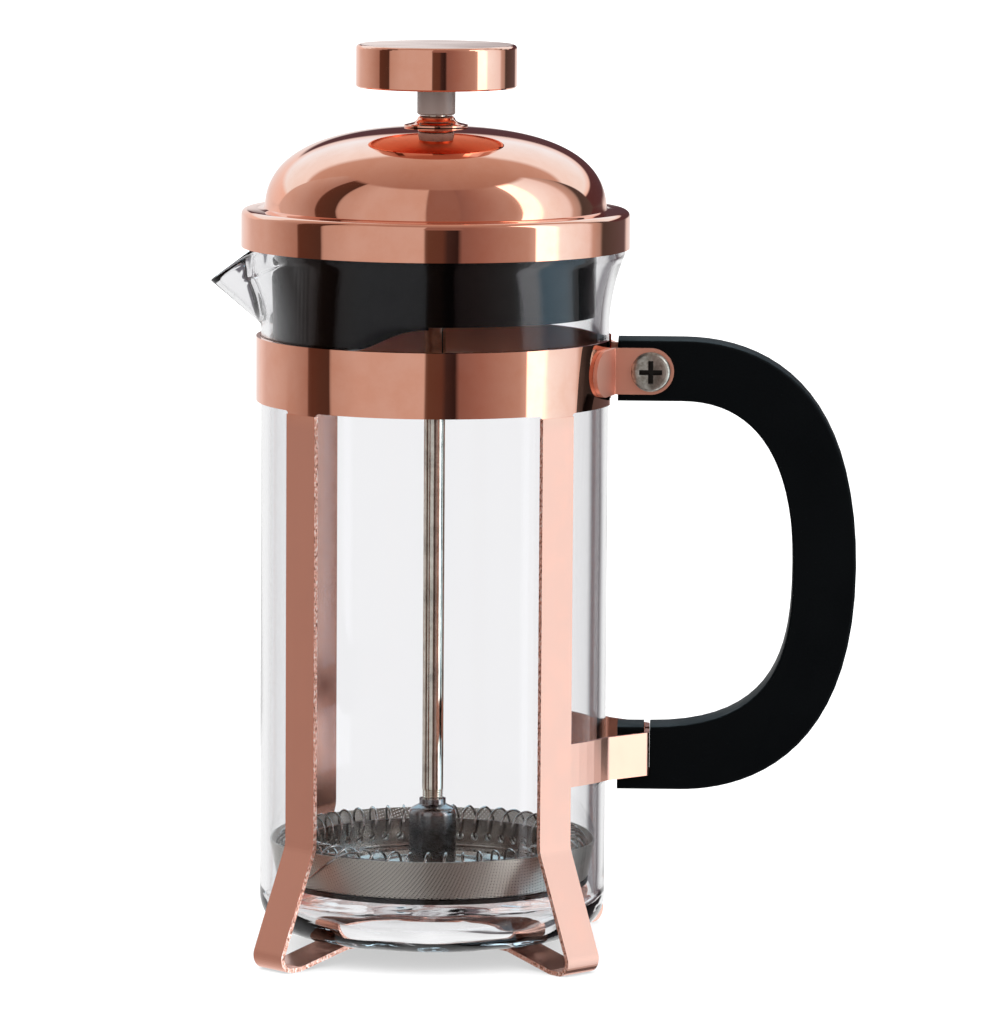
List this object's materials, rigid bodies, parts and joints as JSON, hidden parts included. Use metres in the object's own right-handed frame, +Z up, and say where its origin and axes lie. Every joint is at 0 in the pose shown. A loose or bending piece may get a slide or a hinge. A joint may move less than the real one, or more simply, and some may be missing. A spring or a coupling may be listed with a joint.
{
  "type": "french press",
  "caption": "Small french press: glass beaker in a copper-plated metal cage on feet, black side handle, domed lid and a mesh-filter plunger with a flat round knob.",
  "frame": {"origin": "on the table, on the beaker's axis", "axes": "+Z up along the beaker and the plunger; +X towards the handle, so the spout points along -X; +Y to the far side"},
  "size_m": [0.1308, 0.0782, 0.183],
  "materials": {
    "copper_plate": "rose-copper plate on steel, polished to a mirror",
    "handle_plastic": "black moulded phenolic, fine matte",
    "insert_plastic": "black moulded polypropylene, semi-gloss",
    "grey_plastic": "light grey moulded plastic",
    "clear_glass": "clear borosilicate, fire-polished rim",
    "steel": "stainless steel, as turned or pressed",
    "spring_wire": "drawn stainless wire",
    "wire_mesh": "plain-woven stainless wire cloth",
    "brass": "turned brass"
  },
  "bodies": {
    "frame": {"frame_cage": "copper_plate", "base_disc": "copper_plate", "lug_front": "copper_plate", "lug_rear": "copper_plate", "handle": "handle_plastic", "handle_screw": "steel", "handle_nut": "steel"},
    "beaker": {"glass_beaker": "clear_glass"},
    "lid": {"lid_dome": "copper_plate", "lid_insert": "insert_plastic", "rod_guide": "copper_plate", "guide_nut": "steel"},
    "plunger": {"plunger_rod": "steel", "knob_cap": "copper_plate", "knob_core": "grey_plastic", "knob_insert": "brass", "filter_hub": "steel", "spiral_plate": "steel", "coil_spring": "spring_wire", "mesh_screen": "wire_mesh", "cross_plate": "steel", "filter_stud": "steel"}
  },
  "joints": [
    {"name": "beaker_lift", "type": "slide", "parent": "frame", "child": "beaker", "axis": [0, 0, 1], "range_m": [0, 0.13]},
    {"name": "lid_lift", "type": "slide", "parent": "beaker", "child": "lid", "axis": [0, 0, 1], "range_m": [0, 0.142]},
    {"name": "plunger_slide", "type": "slide", "parent": "lid", "child": "plunger", "axis": [0, 0, 1], "range_m": [0, 0.1]}
  ]
}
